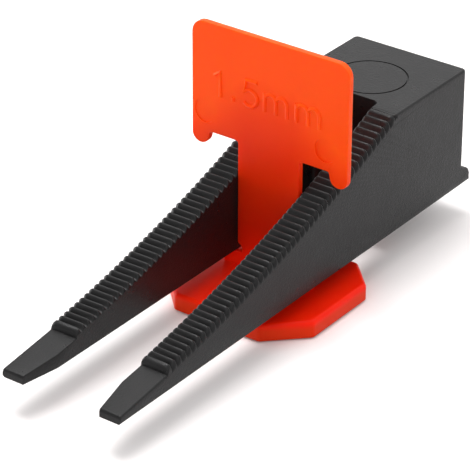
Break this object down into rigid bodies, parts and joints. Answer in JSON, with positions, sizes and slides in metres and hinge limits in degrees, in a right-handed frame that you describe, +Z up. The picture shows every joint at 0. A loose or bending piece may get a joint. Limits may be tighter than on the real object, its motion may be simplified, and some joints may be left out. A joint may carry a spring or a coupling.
{
  "type": "tile levelling clip with wedge",
  "caption": "T-headed tile levelling clip on an eight-sided base plate, with a forked, ribbed wedge slid over its stem to press two tiles level and keep their joint even.",
  "frame": {"origin": "on the underside of the clip's base plate, below the middle of its upright sheet", "axes": "+Z up, out of the base plate; +Y from the wedge's tips to its heel; +X across the wedge"},
  "size_m": [0.04, 0.1264, 0.0593],
  "materials": {
    "clip_plastic": "smooth, slightly translucent",
    "wedge_plastic": "matte"
  },
  "bodies": {
    "clip": {"levelling_clip": "clip_plastic"},
    "wedge": {"forked_wedge": "wedge_plastic"}
  },
  "joints": [
    {"name": "wedge_slide", "type": "slide", "parent": "clip", "child": "wedge", "axis": [0, -1, 0], "range_m": [-0.07, 0.0165]}
  ]
}
